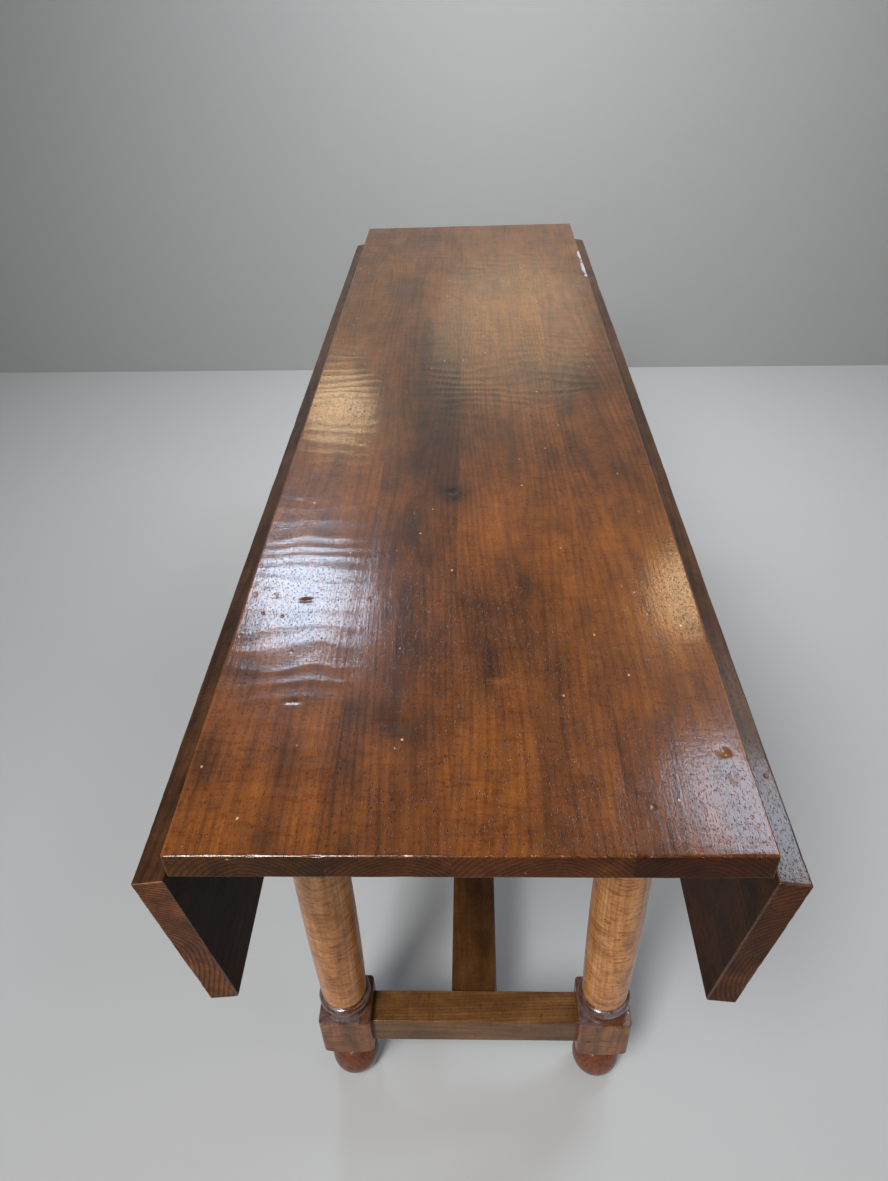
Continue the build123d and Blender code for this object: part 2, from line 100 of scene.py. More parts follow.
# ---- what has happened to the top ---------------------------------------------------------
# Places on the top are (from the middle line to the right, from the near end), then sizes.
stains = [  # across, along, half width, half length, darkness (negative is paler)
    (-0.050, 0.760, 0.075, 0.210, 0.75),
    (-0.020, 0.560, 0.060, 0.130, 0.55),
    (-0.018, 0.492, 0.016, 0.020, 1.00),
    (0.040, 0.250, 0.060, 0.120, 0.45),
    (0.018, 0.195, 0.012, 0.035, 0.80),
    (-0.060, 0.130, 0.050, 0.030, 0.60),
    (-0.195, 0.196, 0.022, 0.016, 0.70),
    (-0.206, 0.085, 0.020, 0.030, 0.60),
    (-0.060, 0.300, 0.045, 0.180, 0.35),
    (-0.110, 1.200, 0.030, 0.100, 0.55),
    (0.130, 0.800, 0.090, 0.070, 0.55),
    (-0.080, 1.520, 0.060, 0.060, 0.50),
    (0.190, 0.140, 0.030, 0.050, 0.40),
    (-0.120, 0.070, 0.016, 0.090, -0.70),
    (-0.170, 0.050, 0.035, 0.050, -0.30),
    (0.045, 0.420, 0.070, 0.100, -0.35),
    (0.024, 0.178, 0.012, 0.005, -0.90),
    (0.000, 0.080, 0.040, 0.070, -0.35),
    (0.150, 0.350, 0.060, 0.160, -0.35),
    (0.100, 1.100, 0.120, 0.200, -0.25),
]
dents = [  # across, along, half width, half length, depth
    (-0.018, 0.494, 0.007, 0.008, 1.0),
    (-0.158, 0.294, 0.008, 0.004, 0.9),
    (-0.189, 0.301, 0.004, 0.003, 0.7),
    (-0.212, 0.303, 0.003, 0.003, 0.7),
    (0.201, 0.097, 0.005, 0.007, 0.9),
    (0.202, 0.072, 0.003, 0.010, 0.5),
    (-0.149, 0.154, 0.012, 0.003, 0.5),
    (-0.055, 0.128, 0.030, 0.012, 0.3),
    (0.066, 0.491, 0.005, 0.004, 0.5),
    (0.129, 0.535, 0.005, 0.004, 0.5),
    (0.077, 0.558, 0.004, 0.005, 0.5),
    (0.134, 0.285, 0.004, 0.004, 0.5),
    (0.090, 0.298, 0.004, 0.004, 0.5),
]
scattered_dents = 90
chipped_corner = (0.219, 1.330, 0.010, 0.170)      # the far right arris is splintered here
chip_depth = 2.2 * mm
ripple_pitch = 24.5 * mm
ripple_depth = 0.025 * mm                          # in the near half, except near the left side
far_ripple_depth = 0.235 * mm                      # added in the far half
left_ripple_depth = 0.180 * mm                     # added along the left stave of the near half
leaf_ripple_pitch = 26.0 * mm
leaf_ripple_depth = 0.03 * mm


def ripples(across, along):
    """Ridges that a hand plane left across the boards, as depths below them."""
    bend = 0.75 * noise(across / 0.09, along / 0.10, 11) + 0.45 * noise(across / 0.035, along / 0.04, 12)
    wave = np.abs(np.sin(pi * (along / ripple_pitch + bend + 0.9 * across)))
    far = np.clip((along - 0.45) / 0.35, 0, 1)
    left = np.clip((-0.095 - across) / 0.012, 0, 1)
    patchy = 0.55 + 0.45 * rough_noise(across / 0.12, along / 0.09, 13)
    depth = ripple_depth + far_ripple_depth * far + left_ripple_depth * left * (1 - far)
    return depth * patchy * wave


def dented(across, along):
    """Knocks and old worm or knot holes, as depths."""
    pick = np.random.default_rng(21)
    marks = [(x, y, wide, long, deep * mm) for x, y, wide, long, deep in dents]
    for _ in range(scattered_dents):
        x, y = pick.uniform(-0.21, 0.21), pick.uniform(0.01, 1.60)
        wide, long = pick.uniform(0.002, 0.006), pick.uniform(0.002, 0.006)
        marks.append((x, y, wide, long, pick.uniform(0.08, 0.35) * mm))
    depth = np.zeros_like(across)
    for x, y, wide, long, deep in marks:
        depth = np.maximum(depth, deep * bell(np.hypot((across - x) / wide, (along - y) / long)))
    return depth


def cupped(across, along, low, high, seed):
    """Each stave has shrunk a little, hollow or crowned, and lies a little out of true."""
    pick = np.random.default_rng(seed)
    part = (across - low) / (high - low)
    crown = 0.10 + pick.uniform(0, 0.10)
    sway = 0.5 + 0.5 * noise(across / 0.2, along / 0.35, seed)
    return (crown * (2 * part - 1) ** 2 + 0.16 * sway) * mm


def chipped(across, along):
    """How deeply the far right arris is splintered, from 0 to 1."""
    x, y, wide, long = chipped_corner
    ragged = np.clip(rough_noise(across / 0.009, along / 0.018, 33) + 0.20, 0, 1)
    return ragged * bell(np.hypot((across - x) / wide, (along - y) / long))


def top_relief(across, along, low, high, seed):
    """How far the upper face of a stave of the top lies below its CAD plane."""
    broad = 0.10 * mm * (1 + rough_noise(across / 0.09, along / 0.06, 31))
    worked = ripples(across, along) + dented(across, along) + chip_depth * chipped(across, along)
    return cupped(across, along, low, high, seed) + broad + worked


def leaf_relief(across, along, low, high, seed):
    """The same for a stave of a leaf."""
    broad = 0.12 * mm * (1 + rough_noise(across / 0.08, along / 0.10, seed + 3))
    bend = noise(across / 0.1, along / 0.12, seed + 5)
    wave = np.abs(np.sin(pi * (along / leaf_ripple_pitch + bend)))
    return cupped(across, along, low, high, seed) + broad + leaf_ripple_depth * wave


def stained(across, along):
    """How dark the wood is stained at each point, from the list of stains."""
    total = np.zeros_like(across)
    bend_x = 0.020 * rough_noise(across / 0.05, along / 0.09, 41)
    bend_y = 0.035 * rough_noise(across / 0.04, along / 0.07, 42)
    for x, y, wide, long, dark in stains:
        far = np.hypot((across + bend_x * min(1, wide / 0.05) - x) / (1.35 * wide),
                       (along + bend_y * min(1, long / 0.05) - y) / (1.35 * long))
        total += dark * bell(far)
    return total


# ---- boards -------------------------------------------------------------------------------
arris_size = 3.0 * mm                              # the widest that a worn arris gets
arris_lines = np.array([0.2, 0.42, 0.66, 1.0])     # where mesh lines cross it
nick_depth = 3.0 * mm                              # of the deepest knocks along an arris
side_wobble = 0.25 * mm                            # how far a long side is out of straight
full_round = 0.29                                  # 1 less each part of a direction at 45 degrees
near_length = 0.30                                 # of the finer mesh at the near end
top_steps = (0.002, 0.0034)                        # between cross sections there, and beyond it
leaf_steps = (0.003, 0.005)
face_step = 0.003                                  # between mesh lines across an upper face
under_step = 0.012
edge_step = 0.010
sharp_angle = 50


def lines(low, high, step, arris):
    """Places of mesh lines from low to high, closer together near an eased arris at either end."""
    close = np.concatenate([[0.0], arris_lines, [1.7]])
    start = low + close * arris[0] if arris[0] else np.array([low])
    stop = high - close[::-1] * arris[1] if arris[1] else np.array([high])
    count = max(2, int(round((stop[0] - start[-1]) / step)))
    return np.concatenate([start, np.linspace(start[-1], stop[0], count + 1)[1:-1], stop])


def section_outline(low, high, arris):
    """Points (x, z) round a board's cross section, from its upper left and first to the right."""
    upper = lines(low.x, high.x, face_step, arris)
    lower = lines(low.x, high.x, under_step, arris)
    heights = lines(low.z, high.z, edge_step, (arris_size, arris_size))
    outline = [(x, high.z) for x in upper] + [(high.x, z) for z in heights[::-1][1:]]
    outline += [(x, low.z) for x in lower[::-1][1:]] + [(low.x, z) for z in heights[1:-1]]
    return np.array(outline)


def section_places(low, high, steps):
    """(y, inset) of each cross section; the insets draw the sections in over the end faces."""
    near = lines(low.y, low.y + near_length, steps[0], (arris_size, 0))
    far = lines(low.y + near_length, high.y, steps[1], (0, arris_size))[1:]
    insets = arris_lines * arris_size
    places = [(low.y, inset) for inset in insets[::-1]]
    places += [(y, 0.0) for y in np.concatenate([near, far])]
    return places + [(high.y, inset) for inset in insets]


def worn_down(raw, low, high, shares, seed):
    """Points of a square board with unevenly rounded arrises, and the way each point then faces.

    shares are how much the left and right arrises are worn, from 0 to 1.
    """
    wander = 0.62 + 0.38 * rough_noise(raw[:, 0] / 0.05, raw[:, 1] / 0.07, seed + 70)
    reach = np.clip(wander, 0.45, 1.0)[:, None] * arris_size
    from_low = np.array(low) + reach * np.array([shares[0], 1, 1])
    from_high = np.array(high) - reach * np.array([shares[1], 1, 1])
    core = np.clip(raw, from_low, np.maximum(from_low, from_high))
    shift = (raw - core) / reach
    out = shift / np.maximum(np.linalg.norm(shift, axis=1), 1e-9)[:, None]
    return core + out * reach, out


def skin(around, count):
    """Faces of a closed tube of count rings with that many points around, and of its two ends."""
    faces = []
    for ring in range(count - 1):
        near, far = ring * around, (ring + 1) * around
        for i in range(around):
            beside = (i + 1) % around
            faces.append((near + i, near + beside, far + beside, far + i))
    faces.append(tuple(range(around))[::-1])
    faces.append(tuple(range((count - 1) * around, count * around)))
    return faces


def board_mesh(name, low, high, arris, relief, steps, under_flat, seed):
    """A closed board from low to high, level, with worn arrises and a worked upper face.

    arris is how far the left and right arrises are worn; a glued joint has 0.
    under_flat is (side, size) of a flat along the lower arris of one side, or None.
    """
    outline = section_outline(low, high, arris)
    sections = section_places(low, high, steps)
    shares = [size / arris_size for size in arris]
    points = []
    for y, inset in sections:
        x = np.clip(outline[:, 0], low.x + inset * shares[0], high.x - inset * shares[1])
        z = np.clip(outline[:, 1], low.z + inset, high.z - inset)
        points.append(np.stack([x, np.full_like(x, y), z], 1))
    raw = np.concatenate(points)

    placed, out = worn_down(raw, low, high, shares, seed)
    rounded = np.clip((1 - np.abs(out).max(1)) / full_round, 0, 1)
    nick = np.clip(rough_noise(raw[:, 0] / 0.009, raw[:, 1] / 0.011, seed + 90) - 0.25, 0, 1)
    placed -= out * (nick_depth * nick * rounded)[:, None]

    across, along = placed[:, 0], placed[:, 1] - low.y
    upward = np.clip(out[:, 2], 0, 1)
    placed[:, 2] -= upward * relief(across, along, low.x, high.x, seed)
    for side, share in zip((-1, 1), shares):
        if share:
            wobble = side_wobble * (1 + rough_noise(along / 0.06, placed[:, 2] / 0.02, seed + 80))
            placed[:, 0] -= side * np.clip(side * out[:, 0], 0, 1) * wobble
    if under_flat:
        side, flat = under_flat
        edge = high.x if side > 0 else low.x
        beyond = flat - np.abs(placed[:, 0] - edge) - (placed[:, 2] - low.z)
        placed[:, 2] += np.clip(beyond, 0, None) / 2
        placed[:, 0] -= side * np.clip(beyond, 0, None) / 2

    faces = skin(len(outline), len(sections))
    mesh = bpy.data.meshes.new(name)
    mesh.from_pydata(placed.tolist(), [], faces)
    mesh.polygons.foreach_set("use_smooth", [True] * len(faces))
    mesh.validate()
    mesh.update()
    mesh.set_sharp_from_angle(angle=radians(sharp_angle))
    marks = {
        "worn": rounded,
        "stain": stained(across, along) * upward,
        "under": np.clip(-out[:, 2], 0, 1),
        "end_grain": np.abs(out[:, 1]),
        "chip": chipped(across, along) * (out[:, 2] > 0.2),
    }
    for label, values in marks.items():
        layer = mesh.attributes.new(label, "FLOAT", "POINT")
        layer.data.foreach_set("value", values.astype(np.float32))
    return mesh


def shown(name, mesh, body, replaced, material):
    """Shows a mesh in place of a CAD node."""
    piece = bpy.data.objects.new(name, mesh)
    bpy.context.scene.collection.objects.link(piece)
    mesh.materials.append(material)
    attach(piece, body)
    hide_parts(replaced)


def turn_about(joint, angle):
    """The matrix that turns a body about its joint by that many degrees."""
    place = Matrix.Translation(Vector(joint["pos_m"]))
    return place @ Matrix.Rotation(radians(angle), 4, Vector(joint["axis"])) @ place.inverted()


# ---- materials ----------------------------------------------------------------------------
def srgb(red, green, blue):
    """A colour given in display values from 0 to 255."""
    linear = []
    for value in (red, green, blue):
        share = value / 255
        linear.append(share / 12.92 if share <= 0.04 else ((share + 0.055) / 1.055) ** 2.4)
    return (*linear, 1.0)


class Tree:
    """A material's nodes, with short calls for the few kinds that are used here."""

    def __init__(self, name):
        self.material = bpy.data.materials.new(name)
        self.material.use_nodes = True
        self.nodes = self.material.node_tree.nodes
        self.links = self.material.node_tree.links
        self.shader = self.nodes["Principled BSDF"]

    def put(self, socket, value):
        if isinstance(value, bpy.types.NodeSocket):
            self.links.new(value, socket)
        else:
            socket.default_value = value

    def add(self, kind, values=(), **settings):
        node = self.nodes.new(kind)
        for key, value in settings.items():
            setattr(node, key, value)
        for key, value in dict(values).items():
            self.put(node.inputs[key], value)
        return node

    def math(self, operation, a, b=0.0, clamp=False):
        return self.add("ShaderNodeMath", {0: a, 1: b}, operation=operation, use_clamp=clamp).outputs[0]

    def vector(self, operation, a, b):
        return self.add("ShaderNodeVectorMath", {0: a, 1: b}, operation=operation).outputs[0]

    def noise(self, place, stretch, detail=3.0, rough=0.55, bent=0.0):
        scaled = self.vector("MULTIPLY", place, stretch)
        values = {"Vector": scaled, "Scale": 1.0, "Detail": detail, "Roughness": rough, "Distortion": bent}
        return self.add("ShaderNodeTexNoise", values).outputs["Fac"]

    def fit(self, value, low, high, to_low=0.0, to_high=1.0, smooth=True):
        values = {"Value": value, "From Min": low, "From Max": high, "To Min": to_low, "To Max": to_high}
        kind = "SMOOTHSTEP" if smooth else "LINEAR"
        return self.add("ShaderNodeMapRange", values, interpolation_type=kind).outputs["Result"]

    def ramp(self, value, stops):
        node = self.add("ShaderNodeValToRGB", {"Fac": value})
        elements = node.color_ramp.elements
        while len(elements) < len(stops):
            elements.new(0.5)
        for element, (place, color) in zip(elements, stops):
            element.position = place
            element.color = color
        return node.outputs["Color"]

    def mix(self, amount, a, b, blend="MIX"):
        node = self.add("ShaderNodeMix", data_type="RGBA", blend_type=blend)
        self.put(node.inputs["Factor"], amount)
        self.put(node.inputs[6], a)
        self.put(node.inputs[7], b)
        return node.outputs[2]

    def tinted(self, amount, color, tint):
        """The colour, multiplied by a tint where the amount is 1."""
        return self.mix(amount, color, self.mix(1.0, color, tint, "MULTIPLY"))

    def attribute(self, name):
        return self.add("ShaderNodeAttribute", attribute_name=name).outputs["Fac"]

    def bump(self, height, distance, strength=1.0):
        values = {"Height": height, "Distance": distance, "Strength": strength}
        return self.add("ShaderNodeBump", values).outputs["Normal"]


ring_width = 4.2 * mm                              # of one year's growth
tone_stops = (0.14, 0.36, 0.54, 0.76)              # where the four tones of a wood lie
streak_tint = (0.62, 0.54, 0.50, 1)
grime_tint = (0.40, 0.32, 0.30, 1)
wave_tint = (0.60, 0.48, 0.40, 1)                  # the flame in the wood of a column
fleck_tint = (0.46, 0.36, 0.32, 1)
pore_tint = (0.34, 0.26, 0.24, 1)
# painted shade: faces that look down when a board lies level are darkened as if in shadow
painted_under_shade = (0.50, 0.42, 0.38, 1)
arc_tint = (0.45, 0.40, 0.36, 1)                   # year rings in end grain
cove_dark_tint = (0.34, 0.30, 0.30, 1)                  # darkens a leg from the foot of its cove up
# pale bluish grey painted on a leg's cove and ring, a painted reflection of cool light
painted_sheen = srgb(134, 132, 142)
# pale bluish grey on a splintered arris, a painted highlight of light caught by the splinters
splinter_glint = srgb(166, 172, 184)
# pale specks scattered over a wood, painted glints of light in small chips
speck_glint_color = srgb(196, 164, 124)
wax_roughness = 0.11
base_gloss = 0.10                                  # the stained wood under the wax is dull
grain_relief = 0.26 * mm
piece_offset = (0.37, 1.13, 0.71)                  # takes each piece to its own part of the noise


def grain_place(tree, grain, seed):
    """Object coordinates turned so that the grain runs along the second one."""
    place = tree.add("ShaderNodeTexCoord").outputs["Object"]
    split = tree.add("ShaderNodeSeparateXYZ", {0: place}).outputs
    order = {"X": (1, 0, 2), "Y": (0, 1, 2), "Z": (0, 2, 1)}[grain]
    values = {}
    for k, axis in enumerate(order):
        values[k] = tree.math("ADD", split[axis], seed * piece_offset[k])
    return tree.add("ShaderNodeCombineXYZ", values).outputs[0]


def along_grain(tree, place, seed):
    """The object coordinate along the grain."""
    moved = tree.add("ShaderNodeSeparateXYZ", {0: place}).outputs[1]
    return tree.math("SUBTRACT", moved, seed * piece_offset[1])


def growth(tree, place, pith, seed):
    """The place with a wandering grain, and the year rings round the heart, from 0 to 1."""
    bend = tree.add("ShaderNodeTexNoise", {"Vector": tree.vector("MULTIPLY", place, (5.0, 0.9, 5.0)),
                                           "Scale": 1.0, "Detail": 2.0}).outputs["Color"]
    bend = tree.vector("MULTIPLY", tree.vector("SUBTRACT", bend, (0.5, 0.5, 0.5)), (0.07, 0.0, 0.07))
    bent = tree.vector("ADD", place, bend)
    middle = (pith[0] + seed * piece_offset[0], 0.0, pith[1] + seed * piece_offset[2])
    flat = tree.vector("MULTIPLY", tree.vector("SUBTRACT", bent, middle), (1.0, 0.0, 1.0))
    reach = tree.add("ShaderNodeVectorMath", {0: flat}, operation="LENGTH").outputs["Value"]
    years = tree.math("SINE", tree.math("MULTIPLY", reach, 2 * pi / ring_width))
    return bent, tree.fit(years, -0.2, 1.0)


def leg_zones(tree, place, seed):
    """Where a leg has its golden column, and where it is darker from its cove up, each from 0 to 1."""
    height = along_grain(tree, place, seed)
    above = tree.fit(height, ring_top, ring_top + 0.006)
    below = tree.fit(height, column_top - 0.006, column_top, 1.0, 0.0)
    column = tree.math("MULTIPLY", above, below)
    above_cove = tree.math("MULTIPLY", tree.fit(height, cove_foot - 0.002, cove_foot + 0.002), 0.85)
    return column, above_cove


def glints_and_pits(tree, place, fine):
    """Pale specks painted as glints, and small pits, each from 0 to 1, in some of the cells of a scatter.
    """
    cells = tree.add("ShaderNodeTexVoronoi", {"Vector": tree.vector("MULTIPLY", place, (55.0, 38.0, 55.0)),
                                              "Scale": 1.0}).outputs
    chance = tree.add("ShaderNodeSeparateColor", {0: cells["Color"]}).outputs[0]
    ragged = tree.math("ADD", cells["Distance"], tree.math("MULTIPLY", fine, 0.10))
    ragged = tree.math("SUBTRACT", ragged, 0.05)
    glint_speck = tree.math("MULTIPLY", tree.fit(ragged, 0.03, 0.07, 1.0, 0.0),
                      tree.fit(chance, 0.36, 0.40, 1.0, 0.0))
    pit = tree.math("MULTIPLY", tree.fit(cells["Distance"], 0.0, 0.14, 1.0, 0.0),
                    tree.fit(chance, 0.70, 0.74))
    return glint_speck, pit


def board_marks(tree, color, place, years, worn_color, end_tint):
    """The colour with rubbed arrises, an underside darkened as painted shade, end grain, and splinters
    given a painted highlight, as the mesh says.
    """
    patchy = tree.fit(tree.noise(place, (70.0, 45.0, 70.0)), 0.40, 0.62)
    rubbed = tree.math("MULTIPLY", tree.attribute("worn"), patchy)
    color = tree.mix(tree.math("MULTIPLY", rubbed, 0.5), color, worn_color)
    end_grain = tree.attribute("end_grain")
    # painted shade on the underside
    color = tree.tinted(tree.attribute("under"), color, painted_under_shade)
    color = tree.tinted(end_grain, color, end_tint)
    arcs = tree.math("MULTIPLY", tree.math("MULTIPLY", years, end_grain), 0.55)
    color = tree.tinted(arcs, color, arc_tint)
    # painted highlight: the splintered arris is coloured pale bluish grey
    return tree.mix(tree.fit(tree.attribute("chip"), 0.10, 0.30), color, splinter_glint)


def wood(name, grain, tones, seed, *, pith=(0.0, -0.05), figure=0.5, curl=0.25, gloss=0.30, polish=0.0,
         pores=0.5, glint_specks=0.0, shade=0.0, far_stain_and_sheen=None, end_tint=None, turned_tones=None):
    """Stained, waxed hardwood.  tones are (deep, dark, middle, warm) colours.

    pith is where the heart of the tree lay beside the piece.
    polish is how much clear wax lies on the wood, and gloss the roughness under it.
    The far-end tint darkens and yellows the far end of a long board, partly as stain and partly as a
    painted sheen.
    end_tint is for boards whose meshes carry marks, and colours their end grain.
    turned_tones are the colours of a leg between its two rings.
    """
    tree = Tree(name)
    place = grain_place(tree, grain, seed)
    bent, years = growth(tree, place, pith, seed)

    # the grain at several sizes, from broad patches of stain to single pores
    blotch = tree.noise(bent, (8.0, 3.6, 8.0), detail=5.0, rough=0.62)
    cloud = tree.noise(place, (40.0, 18.0, 40.0), detail=4.0, rough=0.65)
    streak = tree.noise(bent, (300.0, 9.0, 300.0), detail=4.0, rough=0.65)
    band = tree.noise(bent, (60.0, 1.6, 60.0), detail=3.0, rough=0.6)
    curls = tree.noise(place, (55.0, 230.0, 55.0), detail=3.0, rough=0.6, bent=0.5)
    fine = tree.noise(place, (900.0, 260.0, 900.0), detail=1.0)
    pore = tree.fit(fine, 0.60, 0.72)
    glint_speck, pit = glints_and_pits(tree, place, fine)

    # 0 is the deepest of the tones and 1 the warmest
    tone = tree.math("MULTIPLY", blotch, 0.45)
    tone = tree.math("ADD", tone, tree.math("MULTIPLY", cloud, 0.30 + 0.30 * figure))
    tone = tree.math("ADD", tone, tree.math("MULTIPLY", band, 0.30 * figure))
    tone = tree.math("ADD", tone, tree.math("MULTIPLY", years, -0.09 * figure))
    tone = tree.math("SUBTRACT", tone, -0.125 - shade + 0.255 * figure)
    if end_tint:
        tone = tree.math("SUBTRACT", tone, tree.math("MULTIPLY", tree.attribute("stain"), 0.25))
    color = tree.ramp(tone, list(zip(tone_stops, tones)))
    if turned_tones:
        column, above_cove = leg_zones(tree, place, seed)
        color = tree.tinted(above_cove, color, cove_dark_tint)
        # painted reflection: patches of pale bluish grey over the cove and ring stand in for the cool
        # light they mirror
        sheen_amount = tree.fit(tree.noise(place, (38.0, 38.0, 38.0), detail=4.0), 0.40, 0.62)
        sheen_amount = tree.math("MULTIPLY", tree.math("MULTIPLY", sheen_amount, above_cove), 0.45)
        color = tree.mix(sheen_amount, color, painted_sheen)
        color = tree.mix(column, color, tree.ramp(tone, list(zip(tone_stops, turned_tones))))
    thin = tree.fit(streak, 0.35, 0.70)
    color = tree.tinted(tree.math("MULTIPLY", thin, 0.52), color, streak_tint)
    grime = tree.fit(tree.noise(place, (260.0, 150.0, 260.0), detail=4.0, rough=0.7), 0.54, 0.70)
    color = tree.tinted(tree.math("MULTIPLY", grime, 0.75 * figure), color, grime_tint)
    if far_stain_and_sheen:
        # towards the far end: partly stain, partly painted sheen
        far = tree.fit(along_grain(tree, place, seed), -0.35, 0.45)
        color = tree.tinted(far, color, far_stain_and_sheen)
    if turned_tones:
        wave = tree.fit(tree.noise(bent, (16.0, 75.0, 16.0), detail=4.0, rough=0.65, bent=0.8), 0.46, 0.66)
        color = tree.tinted(tree.math("MULTIPLY", wave, 0.62), color, wave_tint)
    fleck = tree.fit(curls, 0.50, 0.66)
    color = tree.tinted(tree.math("MULTIPLY", fleck, curl), color, fleck_tint)
    color = tree.tinted(tree.math("MULTIPLY", pore, pores), color, pore_tint)
    if end_tint:
        color = board_marks(tree, color, place, years, tones[3], end_tint)
    # painted highlights: pale specks stand in for glints in small chips
    color = tree.mix(tree.math("MULTIPLY", glint_speck, glint_specks), color, speck_glint_color)
    tree.put(tree.shader.inputs["Base Color"], color)

    smear = tree.noise(place, (16.0, 9.0, 16.0), detail=4.0, rough=0.65)
    roughness = tree.fit(smear, 0.3, 0.7, gloss - 0.05, gloss + 0.08, smooth=False)
    roughness = tree.math("ADD", roughness, tree.math("MULTIPLY", pore, 0.15))
    tree.put(tree.shader.inputs["Roughness"], roughness)
    tree.put(tree.shader.inputs["Specular IOR Level"], base_gloss)
    if polish:
        wax = polish
        if turned_tones:
            wax = tree.math("ADD", polish, tree.math("SUBTRACT", above_cove, column, clamp=True))
        if end_tint:
            unwaxed = tree.math("ADD", tree.attribute("end_grain"), tree.attribute("under"))
            rubbed = tree.math("MULTIPLY", tree.attribute("worn"), 3.0)
            wax = tree.math("ADD", tree.fit(unwaxed, 0.0, 0.8, polish, 0.0), rubbed, clamp=True)
        tree.put(tree.shader.inputs["Coat Weight"], wax)
        tree.put(tree.shader.inputs["Coat Roughness"], wax_roughness)

    height = tree.math("MULTIPLY", streak, 0.45)
    height = tree.math("ADD", height, tree.math("MULTIPLY", curls, 0.25))
    height = tree.math("ADD", height, tree.math("MULTIPLY", cloud, 0.80))
    for hollow, depth in ((grime, 0.12), (pore, 0.55), (pit, 1.3)):
        height = tree.math("SUBTRACT", height, tree.math("MULTIPLY", hollow, depth))
    bumped = tree.bump(height, grain_relief, 0.75)
    tree.put(tree.shader.inputs["Normal"], bumped)
    tree.put(tree.shader.inputs["Coat Normal"], bumped)
    return tree.material


def metal(name, color, rust, gloss, seed):
    """Old dark iron or bright steel, with rust or tarnish in patches."""
    tree = Tree(name)
    place = tree.vector("ADD", tree.add("ShaderNodeTexCoord").outputs["Object"], (seed, seed, seed))
    patch = tree.fit(tree.noise(place, (55.0, 55.0, 55.0), detail=5.0, rough=0.65), 0.42, 0.66)
    grit = tree.noise(place, (600.0, 600.0, 600.0), detail=3.0)
    color = tree.mix(tree.math("MULTIPLY", patch, 0.8), color, rust)
    color = tree.mix(tree.math("MULTIPLY", grit, 0.35), color,
                     tree.mix(1.0, color, (0.4, 0.38, 0.36, 1), "MULTIPLY"))
    tree.put(tree.shader.inputs["Base Color"], color)
    tree.put(tree.shader.inputs["Metallic"], tree.fit(patch, 0.0, 1.0, 0.95, 0.35))
    dirt = tree.math("ADD", patch, grit)
    tree.put(tree.shader.inputs["Roughness"], tree.fit(dirt, 0.3, 1.6, gloss, gloss + 0.35))
    tree.put(tree.shader.inputs["Normal"], tree.bump(dirt, 0.0002, 0.6))
    return tree.material


top_tones = (srgb(46, 25, 12), srgb(80, 45, 20), srgb(112, 63, 25), srgb(146, 84, 27))
leaf_tones = (srgb(32, 19, 11), srgb(54, 33, 18), srgb(84, 53, 30), srgb(120, 80, 48))
column_tones = (srgb(118, 68, 28), srgb(168, 108, 52), srgb(204, 140, 78), srgb(236, 176, 112))
block_tones = (srgb(60, 32, 16), srgb(104, 62, 32), srgb(134, 84, 44), srgb(164, 108, 62))
foot_tones = (srgb(52, 28, 20), srgb(88, 50, 36), srgb(116, 70, 48), srgb(146, 92, 62))
cross_tones = (srgb(42, 26, 13), srgb(74, 47, 23), srgb(106, 71, 38), srgb(140, 98, 56))
rail_tones = (srgb(30, 18, 9), srgb(54, 33, 15), srgb(82, 52, 25), srgb(112, 74, 38))


# ---- the top ------------------------------------------------------------------------------
stave_shades = (-0.03, -0.05, 0.005, -0.02)
stave_ends = ((0.45, 0.52, 0.47, 1), (0.62, 0.62, 0.52, 1), (0.58, 0.54, 0.42, 1), (0.36, 0.27, 0.16, 1))
# the far end of the top is tinted yellower, partly stain and partly painted sheen
far_stain_and_sheen_tint = (0.86, 0.96, 0.66, 1)
for number, (shade, end_tint) in enumerate(zip(stave_shades, stave_ends), 1):
    node = f"top_plank_{number}"
    low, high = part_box(node)
    sides = (arris_size if number == 1 else 0, arris_size if number == 4 else 0)
    mesh = board_mesh(f"top_board_{number}", low, high, sides, top_relief, top_steps, None, 100 + number)
    material = wood(f"top_wood_{number}", "Y", top_tones, number * 1.7, pith=((low.x + high.x) / 2, 0.69),
                    figure=0.75, curl=0.40, gloss=0.32, polish=0.50, glint_specks=0.9, pores=0.9,
                    shade=shade, end_tint=end_tint, far_stain_and_sheen=far_stain_and_sheen_tint)
    shown(f"top_board_{number}", mesh, "frame", node, material)

# ---- the leaves, made level and then hung -------------------------------------------------
leaf_ends = ((2.60, 2.30, 2.20, 1), (1.0, 0.80, 0.66, 1))      # bare end grain, paler on the left leaf
# painted shade and light: the left leaf is toned darker, as if in shade, and the right lighter, as if lit
# by reflected light
painted_leaf_shading = (-0.10, -0.02)
leaf_flat = 1.8 * mm                               # along the lower arris of a leaf's outer side
for index, (leaf, side) in enumerate((("left_leaf", -1), ("right_leaf", 1))):
    raise_it = turn_about(hinges[leaf], hinges[leaf]["range_deg"][1])
    for part in ("inner", "outer"):
        node = f"{leaf}_{part}_plank"
        level = np.array([raise_it @ v.co for v in nodes[node].data.vertices])
        low, high = Vector(level.min(0)), Vector(level.max(0))
        worn_side = side if part == "outer" else -side
        sides = (arris_size if worn_side < 0 else 0, arris_size if worn_side > 0 else 0)
        flat = (side, leaf_flat) if part == "outer" else None
        mesh = board_mesh(f"{leaf}_{part}_board", low, high, sides, leaf_relief, leaf_steps, flat,
                          200 + 10 * index + (part == "outer"))
        mesh.transform(raise_it.inverted())
        material = wood(f"{leaf}_{part}_wood", "Y", leaf_tones, 11 + 2.3 * index + (part == "outer"),
                        pith=((low.x + high.x) / 2, 0.60), figure=0.7, gloss=0.42, polish=0.3,
                        shade=painted_leaf_shading[index], end_tint=leaf_ends[index])
        shown(f"{leaf}_{part}_board", mesh, leaf, node, material)

